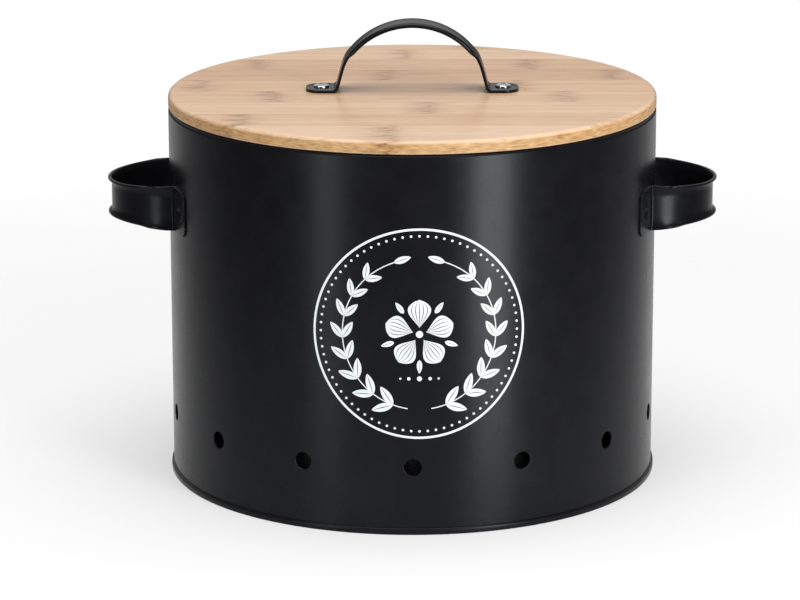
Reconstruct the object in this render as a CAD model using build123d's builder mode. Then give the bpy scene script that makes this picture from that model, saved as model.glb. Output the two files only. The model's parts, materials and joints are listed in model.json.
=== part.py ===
from build123d import *
import os
from math import acos, asin, cos, degrees, radians, sin, sqrt

# Potato storage bin: a round sheet-steel canister with air holes, two strap handles on its sides and a
# lift-off bamboo lid with a pressed steel handle. Sizes are in millimetres. +Z is up, the origin is the
# centre of the ring that the bin stands on, the front is at -Y and the side handles are at -X and +X.

# Rolled body wall
body_radius = 120.0  # outside of the wall
body_sheet = 0.6  # thickness of the sheet
rim_height = 183.6  # top of the rolled rim
rim_curl_radius = 1.9  # outside of the roll that the rim is turned into, all of it inside the wall
rim_curl_turn = 290.0  # degrees that the rim is rolled through
lock_seam_azimuth = 102.9  # the wall's upright seam is at the back, midway between two air holes
lock_seam_width = 6.0
lock_seam_step = 0.5  # how far the lapped sheet stands out
lock_seam_bottom = 4.2
lock_seam_top = 178.6

# Air holes, one ring of them low on the wall
vent_count = 14
vent_radius = 4.1
vent_height = 33.0
vent_punch_length = 3.0  # of the tool that cuts them

# Rolled seam that joins wall and bottom
pan_sheet = 0.5
seam_height = 3.2
seam_radius = 121.1  # outside of the seam
hem_height = 2.0  # of the wall's folded bottom edge, inside the seam
seam_slack = 0.05  # left between the layers, so that they don't share space
seam_round = 0.45  # of its outer corners

# Bottom
panel_height = 4.4  # top of the bottom sheet beside the wall
panel_rise = 1.0  # step up to the middle of the bottom
panel_step_radius = 101.0
panel_step_run = 2.0  # width of the slope that makes the step
panel_corner = 2.0

# Side handles: a strap bent into a loop, with its upper and lower edges rolled outwards
strap_sheet = 0.8
strap_height = 21.0
strap_middle = 138.5  # height of the strap's centre line above the floor
loop_radius = 32.5  # outer face of the loop
loop_centre = 116.8  # from the bin's axis
strap_fold_radius = 1.6  # sheet's middle, where the loop turns to lie along the wall
strap_bead_radius = 1.1
strap_bead_height = 8.25  # of each rolled edge above or below the strap's centre line
strap_bead_offset = 0.55  # of the roll's centre, outwards from the sheet's middle
bead_fade_start = 50.0  # degrees round the loop where the rolls begin to open out
bead_fade_end = 80.0
tab_reach = 49.4  # from the bin's middle plane to the end of each tab
tab_corner = 4.5
tab_spare = 1.0  # degrees of strap past each tab's end, cut off with its corners
weld_radius = 3.0
weld_depth = 0.3
weld_azimuth = 20.9  # degrees from the handle's own direction
weld_drop = 0.5  # below the strap's centre line

# Bamboo lid
lid_radius = 120.0
lid_underside = 183.85
lid_top = 190.25
lid_plug_radius = 114.6
lid_plug_depth = 4.6
lid_top_round = 2.0
lid_lower_round = 1.0
pilot_hole_radius = 1.65
pilot_hole_depth = 8.6

# Pressed steel lid handle
bridge_sheet = 1.5
bridge_foot_half_width = 9.6
bridge_crown_half_width = 8.6
crown_top = 225.0
crown_radius = 39.9  # upper face of the arch
shoulder_angle = 45.0  # from upright, where the arch ends
shoulder_radius = 26.7  # outer face
leg_lean = 15.3  # from upright
foot_bend_radius = 2.0  # hollow side of the bend
foot_reach = 52.3  # tip of each foot from the middle
foot_corner = 7.5
lip_depth = 2.1  # of the arch's turned-down edges, from its upper face
lip_angle = 38.0  # from upright, where the edges begin to run out
lip_round = 0.9  # of the strip's upper edges
bridge_hole_radius = 2.2

# Lid screws
screw_spacing = 89.4
screw_head_radius = 3.9
screw_head_height = 2.2
screw_head_side = 0.7  # height of the head's upright edge, below its dome
screw_head_dome = 5.8  # radius of the dome
screw_shank_radius = 1.6
screw_length = 9.4  # under the head
screw_point_length = 2.4
recess_width = 0.9
recess_reach = 1.9
recess_depth = 1.2

os.makedirs("parts", exist_ok=True)


# Body wall: one sheet rolled to a tube, its top edge rolled inwards and its bottom edge folded out and up
wall_middle = body_radius - body_sheet / 2
curl_centre = (body_radius - rim_curl_radius, rim_height - rim_curl_radius)

with BuildPart() as body_wall:
    with BuildSketch(Plane.XZ):
        with BuildLine():
            Line((wall_middle, pan_sheet), (wall_middle, curl_centre[1]))
            CenterArc(curl_centre, rim_curl_radius - body_sheet / 2, 0, rim_curl_turn)
        trace(line_width=body_sheet)
        with Locations((body_radius, pan_sheet)):
            Rectangle(body_sheet, hem_height, align=(Align.MIN, Align.MIN))
    revolve(axis=Axis.Z)

    seam_half_angle = degrees(lock_seam_width / 2 / body_radius)
    seam_start = radians(lock_seam_azimuth - seam_half_angle)
    seam_plane = Plane(
        origin=(0, 0, 0),
        x_dir=(cos(seam_start), sin(seam_start), 0),
        z_dir=(sin(seam_start), -cos(seam_start), 0),
    )
    with BuildSketch(seam_plane):
        with Locations((wall_middle, lock_seam_bottom)):
            Rectangle(
                body_sheet / 2 + lock_seam_step,
                lock_seam_top - lock_seam_bottom,
                align=(Align.MIN, Align.MIN),
            )
    revolve(axis=Axis.Z, revolution_arc=2 * seam_half_angle)

    with Locations((0, 0, vent_height)):
        with PolarLocations(body_radius, vent_count, start_angle=-90):
            Cylinder(vent_radius, vent_punch_length, rotation=(0, 90, 0), mode=Mode.SUBTRACT)

body_wall.part.label = "body_wall"
export_step(body_wall.part, "parts/body_wall.step")


# Bottom: a pressed sheet whose edge stands up inside the wall, turns under it and clasps the wall's hem
chuck_middle = body_radius - body_sheet - seam_slack - pan_sheet / 2
hook_middle = seam_radius - pan_sheet / 2
lip_middle = seam_height - pan_sheet / 2
panel_low = panel_height - pan_sheet / 2
panel_high = panel_low + panel_rise

with BuildPart() as base_pan:
    with BuildSketch(Plane.XZ):
        with BuildLine():
            Polyline(
                (0, panel_high),
                (panel_step_radius - panel_step_run, panel_high),
                (panel_step_radius, panel_low),
                (chuck_middle - panel_corner, panel_low),
            )
            JernArc((chuck_middle - panel_corner, panel_low), (1, 0), panel_corner, -90)
            Polyline(
                (chuck_middle, panel_low - panel_corner),
                (chuck_middle, pan_sheet / 2),
                (hook_middle, pan_sheet / 2),
                (hook_middle, lip_middle),
                (body_radius + seam_slack + pan_sheet / 2, lip_middle),
            )
        trace(line_width=pan_sheet)
    revolve(axis=Axis.Z)
    seam_edges = base_pan.edges().filter_by(GeomType.CIRCLE).group_by(SortBy.RADIUS)[-1]
    fillet(seam_edges, seam_round)

base_pan.part.label = "base_pan"
export_step(base_pan.part, "parts/base_pan.step")


# Side handles: one strap each. The loop leaves the wall, goes round and comes back, and at both ends a fold
# turns the strap to lie along the wall as a tab, which is spot-welded on.
tab_middle = body_radius + strap_sheet / 2
loop_middle = loop_radius - strap_sheet / 2
fold_distance = tab_middle + strap_fold_radius
loop_to_fold = loop_middle + strap_fold_radius
fold_x = (fold_distance**2 - loop_to_fold**2 + loop_centre**2) / (2 * loop_centre)
fold_y = sqrt(fold_distance**2 - fold_x**2)
fold_azimuth = degrees(asin(fold_y / fold_distance))
loop_end = degrees(acos((fold_x - loop_centre) / loop_to_fold))
tab_end = degrees(asin(tab_reach / tab_middle)) + tab_spare
flat_height = strap_height / 2
edge_height = flat_height - strap_sheet / 2


def fade(share):
    return share * share * (3 - 2 * share)


def bead_section(side, level, share):
    angle = radians(bead_fade_start + share * (bead_fade_end - bead_fade_start))
    reach = loop_middle + strap_bead_offset * (1 - fade(share))
    height = strap_bead_height + (edge_height - strap_bead_height) * fade(share)
    return Plane(
        origin=(
            loop_centre + reach * cos(angle),
            side * reach * sin(angle),
            strap_middle + level * height,
        ),
        x_dir=(cos(angle), side * sin(angle), 0),
        z_dir=(-sin(angle), side * cos(angle), 0),
    )


with BuildPart() as right_handle:
    with BuildSketch(Plane.XY.offset(strap_middle - flat_height)):
        with BuildLine():
            CenterArc((loop_centre, 0), loop_middle, -loop_end, 2 * loop_end)
            for side in (-1, 1):
                CenterArc(
                    (fold_x, side * fold_y),
                    strap_fold_radius,
                    side * (fold_azimuth + 180),
                    side * (loop_end - fold_azimuth),
                )
                CenterArc(
                    (0, 0), tab_middle, side * fold_azimuth, side * (tab_end - fold_azimuth)
                )
        trace(line_width=strap_sheet)
    extrude(amount=strap_height)

    # seen from the front the ends are square with rounded corners
    with BuildSketch(Plane.YZ):
        with Locations((0, strap_middle)):
            RectangleRounded(2 * tab_reach, strap_height, tab_corner)
    extrude(amount=body_radius + loop_radius, mode=Mode.INTERSECT)

    # seen from the side the sheet is lower where its edges are rolled, and widens to its full height
    fade_x = [loop_centre + loop_middle * cos(radians(a)) for a in (bead_fade_start, bead_fade_end)]
    outer_x = loop_centre + loop_radius + strap_sheet
    inner_x = loop_centre - loop_radius
    with BuildSketch(Plane.XZ):
        with BuildLine():
            for level in (-1, 1):
                low = strap_middle + level * strap_bead_height
                full = strap_middle + level * flat_height
                Line((outer_x, low), (fade_x[0], low))
                Spline((fade_x[0], low), (fade_x[1], full), tangents=((-1, 0), (-1, 0)))
                Line((fade_x[1], full), (inner_x, full))
            for x in (outer_x, inner_x):
                half = strap_bead_height if x == outer_x else flat_height
                Line((x, strap_middle - half), (x, strap_middle + half))
        make_face()
    extrude(amount=body_radius, both=True, mode=Mode.INTERSECT)

    # rolled edges: a round bead along the loop that runs out into the flat edge before the folds
    loop_axis = Axis((loop_centre, 0, 0), (0, 0, 1))
    for level in (-1, 1):
        with BuildSketch(bead_section(-1, level, 0)):
            Circle(strap_bead_radius)
        revolve(axis=loop_axis, revolution_arc=2 * bead_fade_start)
        for side in (-1, 1):
            for share in (0, 0.25, 0.5, 0.75, 1):
                radius = strap_bead_radius + (strap_sheet / 2 - strap_bead_radius) * fade(share)
                with BuildSketch(bead_section(side, level, share)):
                    Circle(radius)
            loft()

    # one spot weld on each tab, which leaves a shallow round hollow
    electrode_radius = (weld_radius**2 + weld_depth**2) / (2 * weld_depth)
    electrode_reach = tab_middle + strap_sheet / 2 + electrode_radius - weld_depth
    for side in (-1, 1):
        azimuth = radians(side * weld_azimuth)
        place = (
            electrode_reach * cos(azimuth),
            electrode_reach * sin(azimuth),
            strap_middle - weld_drop,
        )
        with Locations(place):
            Sphere(electrode_radius, mode=Mode.SUBTRACT)

right_handle.part.label = "right_handle"
export_step(right_handle.part, "parts/right_handle.step")

with BuildPart() as left_handle:
    mirror(right_handle.part, about=Plane.YZ)

left_handle.part.label = "left_handle"
export_step(left_handle.part, "parts/left_handle.step")


# Lid: a bamboo board, its lower part turned down to a plug that drops into the rim
with BuildPart() as lid_board:
    with BuildSketch(Plane.XY.offset(lid_underside)):
        Circle(lid_radius)
    extrude(amount=lid_top - lid_underside)
    fillet(lid_board.edges().sort_by(Axis.Z)[-1], lid_top_round)
    fillet(lid_board.edges().sort_by(Axis.Z)[0], lid_lower_round)
    with BuildSketch(Plane.XY.offset(lid_underside)):
        Circle(lid_plug_radius)
    extrude(amount=-lid_plug_depth)
    chamfer(lid_board.edges().sort_by(Axis.Z)[0], lid_lower_round)
    with Locations((-screw_spacing / 2, 0, lid_top), (screw_spacing / 2, 0, lid_top)):
        Hole(pilot_hole_radius, pilot_hole_depth)

lid_board.part.label = "lid_board"
export_step(lid_board.part, "parts/lid_board.step")


# Lid handle: a steel strip pressed into an arch with a flat foot at each end. Along the arch the strip's
# two edges are turned down, so that it is smooth in the hand.
arch_middle = crown_radius - bridge_sheet / 2
arch_centre = (0, crown_top - crown_radius)
lean_angle = 90 - leg_lean
foot_middle = lid_top + bridge_sheet / 2
foot_bend_middle = foot_bend_radius + bridge_sheet / 2


def on_arch(radius, angle):
    return (
        arch_centre[0] + radius * sin(radians(angle)),
        arch_centre[1] + radius * cos(radians(angle)),
    )


with BuildPart() as lid_handle:
    with BuildSketch(Plane.XZ):
        with BuildLine():
            CenterArc(arch_centre, arch_middle, 90 - shoulder_angle, 2 * shoulder_angle)
            for side in (-1, 1):
                start = on_arch(arch_middle, side * shoulder_angle)
                heading = (side * cos(radians(shoulder_angle)), -sin(radians(shoulder_angle)))
                shoulder = JernArc(
                    start,
                    heading,
                    shoulder_radius - bridge_sheet / 2,
                    side * (shoulder_angle - lean_angle),
                )
                down = shoulder % 1
                leg_foot = foot_middle + foot_bend_middle * (1 - sin(radians(leg_lean)))
                leg_length = (leg_foot - (shoulder @ 1).Y) / down.Y
                leg = Line(shoulder @ 1, shoulder @ 1 + down * leg_length)
                bend = JernArc(leg @ 1, down, foot_bend_middle, side * lean_angle)
                Line(bend @ 1, (side * foot_reach, foot_middle))
        trace(line_width=bridge_sheet)
    extrude(amount=bridge_foot_half_width, both=True)

    # seen from above the feet are rounded and the arch is a little narrower
    arch_end = on_arch(crown_radius, shoulder_angle)[0]
    leg_end = foot_reach - foot_corner * 2
    with BuildSketch(Plane.XY.offset(lid_top)):
        RectangleRounded(2 * foot_reach, 2 * bridge_foot_half_width, foot_corner)
        for side in (-1, 1):
            wide = side * bridge_foot_half_width
            narrow = side * bridge_crown_half_width
            past = side * foot_reach
            with BuildLine():
                middle = Line((-arch_end, narrow), (arch_end, narrow))
                Spline(middle @ 1, (leg_end, wide), tangents=((1, 0), (1, 0)))
                Spline(middle @ 0, (-leg_end, wide), tangents=((-1, 0), (-1, 0)))
                Polyline((-leg_end, wide), (-leg_end, past), (leg_end, past), (leg_end, wide))
            make_face(mode=Mode.SUBTRACT)
    extrude(amount=crown_top - lid_top, mode=Mode.INTERSECT)

    # the turned-down edges: deepest round the top of the arch, they run out at its shoulders
    lip_radius = crown_radius - lip_depth
    under_radius = crown_radius - bridge_sheet
    for side in (-1, 1):
        with BuildSketch(Plane.XZ.offset(side * bridge_crown_half_width)):
            with BuildLine():
                CenterArc(arch_centre, lip_radius, 90 - lip_angle, 2 * lip_angle)
                CenterArc(arch_centre, under_radius, 90 - shoulder_angle, 2 * shoulder_angle)
                for end in (-1, 1):
                    Line(on_arch(lip_radius, end * lip_angle), on_arch(under_radius, end * shoulder_angle))
            make_face()
        extrude(amount=-side * bridge_sheet)
    arch_edges = lid_handle.edges().filter_by(
        lambda edge: edge.geom_type == GeomType.CIRCLE and abs(edge.radius - crown_radius) < 0.01
    )
    fillet(arch_edges, lip_round)

    with Locations(*[(x, 0, lid_top + bridge_sheet) for x in (-screw_spacing / 2, screw_spacing / 2)]):
        Hole(bridge_hole_radius, bridge_sheet)

lid_handle.part.label = "lid_handle"
export_step(lid_handle.part, "parts/lid_handle.step")


# Lid screws: two pan-head screws with a cross recess, through the feet of the handle into the board
screw_seat = lid_top + bridge_sheet

for name, x in (("lid_screw_left", -screw_spacing / 2), ("lid_screw_right", screw_spacing / 2)):
    with BuildPart() as lid_screw:
        with BuildSketch(Plane(origin=(x, 0, screw_seat), x_dir=(1, 0, 0), z_dir=(0, -1, 0))):
            with BuildLine():
                head_side = Line((screw_head_radius, 0), (screw_head_radius, screw_head_side))
                RadiusArc(head_side @ 1, (0, screw_head_height), -screw_head_dome)
                Polyline(
                    (0, screw_head_height),
                    (0, -screw_length),
                    (screw_shank_radius, -screw_length + screw_point_length),
                    (screw_shank_radius, 0),
                    (screw_head_radius, 0),
                )
            make_face()
        revolve(axis=Axis((x, 0, 0), (0, 0, 1)))
        with Locations((x, 0, screw_seat + screw_head_height)):
            for turn in (0, 90):
                Box(
                    2 * recess_reach,
                    recess_width,
                    2 * recess_depth,
                    rotation=(0, 0, turn),
                    mode=Mode.SUBTRACT,
                )
    lid_screw.part.label = name
    export_step(lid_screw.part, f"parts/{name}.step")
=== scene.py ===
# Potato storage bin: a round sheet-steel canister with air holes and two strap handles, closed by a lift-off
# bamboo lid with a pressed steel handle. Lengths are in millimetres, and times mm where Blender takes metres.
import json
from math import acos, asin, atan2, ceil, cos, degrees, exp, hypot, pi, radians, sin, sqrt

import bmesh
import bpy
from mathutils import Matrix, Vector

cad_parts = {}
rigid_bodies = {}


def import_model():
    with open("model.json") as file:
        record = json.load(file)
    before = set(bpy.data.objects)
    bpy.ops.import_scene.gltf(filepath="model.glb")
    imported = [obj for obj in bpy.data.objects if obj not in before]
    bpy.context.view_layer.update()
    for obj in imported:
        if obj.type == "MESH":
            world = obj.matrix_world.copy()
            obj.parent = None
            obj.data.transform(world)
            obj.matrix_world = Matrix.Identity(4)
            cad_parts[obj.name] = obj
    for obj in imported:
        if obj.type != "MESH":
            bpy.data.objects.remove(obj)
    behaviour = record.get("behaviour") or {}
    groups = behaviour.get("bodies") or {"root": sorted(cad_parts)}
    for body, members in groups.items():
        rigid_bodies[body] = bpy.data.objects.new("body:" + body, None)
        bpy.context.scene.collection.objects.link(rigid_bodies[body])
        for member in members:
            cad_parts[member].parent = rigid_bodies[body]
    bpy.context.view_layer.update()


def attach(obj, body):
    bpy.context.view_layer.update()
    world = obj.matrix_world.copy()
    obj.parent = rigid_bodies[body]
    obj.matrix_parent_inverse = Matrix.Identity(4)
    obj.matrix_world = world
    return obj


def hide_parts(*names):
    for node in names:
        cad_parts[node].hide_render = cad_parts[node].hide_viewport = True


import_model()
mm = 0.001


# --- Body wall ---------------------------------------------------------------------------------------------
# One blank of 0.6 mm sheet steel: a row of air holes is pierced low down, then it is rolled to a tube whose
# ends are lapped in an upright seam at the back. Its bottom edge is hemmed outwards and its top edge is
# curled inwards to a safe rim. Powder-coated after forming.
body_radius = 120.0
body_sheet = 0.6
vent_count = 14
vent_radius = 4.1
vent_height = 33.0
vent_edge = 0.5  # radius that the punch draws the holes' outer edge to
seam_width = 6.0
seam_step = 0.5
seam_bottom, seam_top = 4.2, 178.6
seam_slope = 0.3
hem_bottom, hem_top = 0.5, 2.5
curl_start = 181.7
curl_middle = 1.6  # radius of the curled sheet's middle
curl_turn = 290.0
columns = 24  # of the mesh between one air hole and the next
blank_length = 2 * pi * body_radius
sector = blank_length / vent_count
cell = sector / columns


def begin(name, add_primitive, **settings):
    """Adds a primitive as a new piece and opens it in edit mode."""
    bpy.ops.object.select_all(action="DESELECT")
    add_primitive(**settings)
    piece = bpy.context.object
    piece.name = piece.data.name = name
    bpy.ops.object.transform_apply(location=True, rotation=True, scale=True)
    bpy.ops.object.mode_set(mode="EDIT")
    return piece


def pick(kind, test):
    """Selects each VERT, EDGE or FACE whose every corner, in millimetres, passes the test."""
    bpy.ops.mesh.select_mode(type=kind)
    bpy.ops.mesh.select_all(action="DESELECT")
    mesh = bpy.context.edit_object.data
    shape = bmesh.from_edit_mesh(mesh)
    for part in {"VERT": shape.verts, "EDGE": shape.edges, "FACE": shape.faces}[kind]:
        corners = [part] if kind == "VERT" else part.verts
        if all(test(*(corner.co / mm)) for corner in corners):
            part.select_set(True)
    bmesh.update_edit_mesh(mesh)


def extrude(dx, dy, dz):
    bpy.ops.mesh.extrude_region_move(TRANSFORM_OT_translate={"value": (dx * mm, dy * mm, dz * mm)})


def modify(piece, kind, **settings):
    """Puts a modifier on a piece and applies it."""
    modifier = piece.modifiers.new(kind.lower(), kind)
    for name, value in settings.items():
        setattr(modifier, name, value)
    bpy.ops.object.modifier_apply(modifier=modifier.name)


def turn(outline, steps, centre=0.0):
    """Draws half a section as (radius, height) points and spins it about an upright axis at x = centre."""
    radius, height = outline[0]
    bpy.ops.mesh.select_mode(type="VERT")
    bpy.ops.mesh.primitive_plane_add(size=mm, location=((centre + radius) * mm, 0, height * mm))
    bpy.ops.mesh.merge(type="CENTER")
    for next_radius, next_height in outline[1:]:
        extrude(next_radius - radius, 0, next_height - height)
        radius, height = next_radius, next_height
    bpy.ops.mesh.select_linked()
    bpy.ops.mesh.spin(
        steps=steps, angle=2 * pi, use_auto_merge=True, center=(centre * mm, 0, 0), axis=(0, 0, 1)
    )


def close():
    """Merges doubled corners, turns every face outwards and leaves edit mode."""
    bpy.ops.mesh.select_all(action="SELECT")
    bpy.ops.mesh.remove_doubles(threshold=0.002 * mm)
    bpy.ops.mesh.normals_make_consistent(inside=False)
    bpy.ops.object.mode_set(mode="OBJECT")


def colour(hex_code):
    """An sRGB hex colour as linear red, green, blue and alpha."""
    channels = [int(hex_code[i : i + 2], 16) / 255 for i in (1, 3, 5)]
    return [c / 12.92 if c <= 0.04045 else ((c + 0.055) / 1.055) ** 2.4 for c in channels] + [1.0]


def node(tree, kind, inputs=None, **settings):
    """Adds a shader node with its settings, and gives inputs a value or another node's output."""
    made = tree.nodes.new("ShaderNode" + kind)
    for name, value in settings.items():
        setattr(made, name, value)
    for name, value in (inputs or {}).items():
        if isinstance(value, bpy.types.NodeSocket):
            tree.links.new(value, made.inputs[name])
        else:
            made.inputs[name].default_value = value
    return made


def ramp(tree, source, stops):
    """A colour ramp through (position, hex colour or grey level) stops."""
    made = node(tree, "ValToRGB", {"Fac": source})
    elements = made.color_ramp.elements
    while len(elements) < len(stops):
        elements.new(1.0)
    for element, (position, shade) in zip(elements, stops):
        element.position = position
        element.color = colour(shade) if isinstance(shade, str) else (shade, shade, shade, 1.0)
    return made.outputs["Color"]


# the flat blank for one air hole, with the hole's ring of faces bridged to the grid round it
body_wall = begin(
    "body_wall_sheet",
    bpy.ops.mesh.primitive_grid_add,
    x_subdivisions=columns,
    y_subdivisions=10,
    size=1,
    rotation=(pi / 2, 0, 0),
)
bpy.ops.mesh.select_all(action="SELECT")
bpy.ops.transform.resize(value=(sector * mm, 1, 10 * cell * mm), center_override=(0, 0, 0))
bpy.ops.transform.translate(value=(0, 0, vent_height * mm))
pick("FACE", lambda x, y, z: abs(x) < 4.1 * cell and abs(z - vent_height) < 4.1 * cell)
bpy.ops.mesh.delete(type="FACE")
bpy.ops.mesh.primitive_circle_add(
    vertices=32, radius=vent_radius * mm, location=(0, 0, vent_height * mm), rotation=(pi / 2, 0, 0)
)
pick(
    "EDGE",
    lambda x, y, z: abs(max(abs(x), abs(z - vent_height)) - 4 * cell) < 0.01
    or abs(hypot(x, z - vent_height) - vent_radius) < 0.01,
)
bpy.ops.mesh.bridge_edge_loops(number_cuts=3, interpolation="LINEAR")

# the rest of its height
for levels in (
    (vent_height + 5 * cell, 76, 110, 145, seam_top, seam_top + seam_slope, curl_start),
    (vent_height - 5 * cell, seam_bottom, seam_bottom - seam_slope, hem_top, hem_bottom),
):
    pick("EDGE", lambda x, y, z: abs(z - levels[0]) < 0.01)
    for low, high in zip(levels, levels[1:]):
        extrude(0, 0, high - low)
close()
if body_wall.data.polygons[0].normal.y > 0:
    body_wall.data.flip_normals()

# fourteen in a row, with two columns moved to the edge of the lapped seam at each end of the blank
modify(
    body_wall,
    "ARRAY",
    count=vent_count,
    use_relative_offset=False,
    use_constant_offset=True,
    constant_offset_displace=(sector * mm, 0, 0),
    use_merge_vertices=True,
    merge_threshold=0.01 * mm,
)
modify(body_wall, "SOLIDIFY", thickness=body_sheet * mm, offset=-1)
bpy.ops.object.mode_set(mode="EDIT")
bpy.ops.mesh.select_all(action="SELECT")
bpy.ops.transform.translate(value=(sector * mm * (1 - vent_count) / 2, 0, 0))
blank_end = blank_length / 2
seam_flat = (seam_width - seam_slope) / 2
for end in (-1, 1):
    for old, new in ((cell, seam_flat), (2 * cell, seam_flat + seam_slope)):
        pick(
            "VERT",
            lambda x, y, z: abs(end * x - blank_end + old) < 0.01
            and seam_bottom - seam_slope - 0.01 < z < seam_top + seam_slope + 0.01,
        )
        bpy.ops.transform.translate(value=(end * (old - new) * mm, 0, 0))
pick("FACE", lambda x, y, z: abs(x) > blank_end - 0.01)
bpy.ops.mesh.delete(type="ONLY_FACE")
pick("FACE", lambda x, y, z: z > curl_start - 0.01)
bpy.ops.mesh.delete(type="ONLY_FACE")
pick(
    "VERT",
    lambda x, y, z: y < 0.1 and abs(x) > blank_end - seam_flat - 0.01 and seam_bottom - 0.01 < z < seam_top + 0.01,
)
bpy.ops.transform.translate(value=(0, -seam_step * mm, 0))
pick(
    "EDGE",
    lambda x, y, z: y < 0.1 and abs(hypot((x % sector) - sector / 2, z - vent_height) - vent_radius) < 0.01,
)
bpy.ops.mesh.bevel(offset=vent_edge * mm, segments=5, profile=0.5, affect="EDGES")
pick("FACE", lambda x, y, z: y < 0.1 and z < hem_top + 0.01)
extrude(0, -body_sheet, 0)
bpy.ops.object.mode_set(mode="OBJECT")

# rolled up, with the seam between two air holes at the back, and its top edge curled in
modify(body_wall, "SIMPLE_DEFORM", deform_method="BEND", deform_axis="Z", angle=2 * pi)
body_wall.data.transform(
    Matrix.Rotation(pi / vent_count, 4, "Z") @ Matrix.Translation((0, -body_radius * mm, 0))
)
bpy.ops.object.mode_set(mode="EDIT")
curl_centre = body_radius - body_sheet / 2 - curl_middle
curl = [
    [
        (curl_centre + radius * cos(radians(angle)), curl_start + radius * sin(radians(angle)))
        for angle in (curl_turn * step / 20 for step in range(21))
    ]
    for radius in (curl_middle + body_sheet / 2, curl_middle - body_sheet / 2)
]
turn(curl[0] + curl[1][::-1], vent_count * columns)
close()
bpy.ops.object.shade_smooth_by_angle(angle=radians(40))

# a rolled sheet is a true cylinder, so the shading of its flat-meshed outside follows the cylinder
corner_normals = [(0.0, 0.0, 0.0)] * len(body_wall.data.loops)
for face in body_wall.data.polygons:
    places = [body_wall.data.vertices[i].co for i in face.vertices]
    if all(abs(hypot(p.x, p.y) - body_radius * mm) < 0.005 * mm for p in places):
        for corner, place in zip(face.loop_indices, places):
            corner_normals[corner] = (place.x / body_radius / mm, place.y / body_radius / mm, 0.0)
body_wall.data.normals_split_custom_set(corner_normals)

# Polyester powder coat, satin black, baked on. The powder flows to a skin with a faint orange peel: a broad
# soft highlight with a slightly uneven edge, and almost no colour of its own.
black_powder_coat = bpy.data.materials.new("satin_black_powder_coat")
black_powder_coat.use_nodes = True
coat = black_powder_coat.node_tree
place = node(coat, "TexCoord")
peel = node(
    coat,
    "TexNoise",
    {"Vector": place.outputs["Object"], "Scale": 1 / (0.9 * mm), "Detail": 2.0, "Roughness": 0.5},
)
flow = node(coat, "TexNoise", {"Vector": place.outputs["Object"], "Scale": 1 / (14 * mm), "Detail": 2.0})
tone = ramp(coat, flow.outputs["Fac"], ((0.3, "#121214"), (0.7, "#161619")))
gloss = node(
    coat,
    "MapRange",
    {"Value": flow.outputs["Fac"], "From Min": 0.3, "From Max": 0.7, "To Min": 0.25, "To Max": 0.29},
)
bump = node(coat, "Bump", {"Height": peel.outputs["Fac"], "Strength": 0.35, "Distance": 0.012 * mm})
skin = coat.nodes["Principled BSDF"]
skin.inputs["IOR"].default_value = 1.5
skin.inputs["Specular IOR Level"].default_value = 0.22
skin.inputs["Specular Tint"].default_value = (0.88, 0.93, 1.0, 1.0)
coat.links.new(tone, skin.inputs["Base Color"])
coat.links.new(gloss.outputs["Result"], skin.inputs["Roughness"])
coat.links.new(bump.outputs["Normal"], skin.inputs["Normal"])

body_wall.data.materials.append(black_powder_coat)
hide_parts("body_wall")
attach(body_wall, "bin")


# --- Bottom ------------------------------------------------------------------------------------------------
# A disc of 0.5 mm steel, pressed with a raised middle. Its edge goes down inside the wall, out under it and
# up over the hem, and is rolled tight: the thin proud ring that the bin stands on.
pan_sheet = 0.5
pan_middle_height = 5.15
pan_border_height = 4.15
pan_step = (99.0, 101.0)
pan_wall_radius = 119.1
pan_corner = 2.0
ring_middle_radius = 120.84
ring_top = 2.95

pan = [(0.0, pan_middle_height), (60.0, pan_middle_height)]
pan += [(pan_step[0], pan_middle_height), (pan_step[1], pan_border_height)]
pan += [
    (
        pan_wall_radius - pan_corner + pan_corner * sin(radians(angle)),
        pan_border_height - pan_corner + pan_corner * cos(radians(angle)),
    )
    for angle in range(0, 91, 18)
]
pan += [(pan_wall_radius, pan_sheet / 2), (ring_middle_radius, pan_sheet / 2)]
pan += [(ring_middle_radius, ring_top), (body_radius + 0.05, ring_top)]
base_pan = begin("base_pan_pressing", bpy.ops.mesh.primitive_plane_add, size=mm)
bpy.ops.mesh.delete(type="VERT")
turn(pan, 336)
for radius, height, bend, segments in (
    (pan_step[0], pan_middle_height, 0.7, 3),
    (pan_step[1], pan_border_height, 0.7, 3),
    (pan_wall_radius, pan_sheet / 2, 0.22, 2),
    (ring_middle_radius, pan_sheet / 2, 0.22, 3),
    (ring_middle_radius, ring_top, 0.7, 6),
):
    pick("EDGE", lambda x, y, z: abs(hypot(x, y) - radius) < 0.01 and abs(z - height) < 0.01)
    bpy.ops.mesh.bevel(offset=bend * mm, segments=segments, profile=0.5, affect="EDGES")
close()
modify(base_pan, "SOLIDIFY", thickness=pan_sheet * mm, offset=0, use_even_offset=True)
bpy.ops.object.shade_smooth_by_angle(angle=radians(40))
base_pan.data.materials.append(black_powder_coat)
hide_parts("base_pan")
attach(base_pan, "bin")


# --- Side handles ------------------------------------------------------------------------------------------
# One strap of 0.8 mm steel each, 21 mm high, bent to a loop with its upper and lower edges dished outwards and
# rolled to a bead. Towards the wall the beads open into a flare, a fold turns the strap to lie along the wall
# as a tab, and one spot weld holds each tab. Powder-coated together with the body.
strap_sheet = 0.8
strap_half = 10.5
bead_half = 9.35  # half the loop's height over its beads
strap_middle = 138.5
loop_radius = 31.58  # of the sheet's middle
loop_centre = 116.8
fold_radius = 1.6
tab_radius = body_radius + strap_sheet / 2
tab_reach = 49.4
tab_corner = 4.5
dish_turn, dish_length = 25.0, 3.8  # degrees and length of the hollow beside each bead
bead_turn, bead_length = 205.0, 1.57  # degrees that each bead is rolled to, and the sheet in it
flare_length = 0.9  # more of the sheet that leans outwards where the bead has opened
bead_open = (50.0, 83.0)  # degrees round the loop
flare_end = (76.0, 98.0)
rise_start = 30.0  # degrees round the loop, from where its height grows towards the tabs
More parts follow.
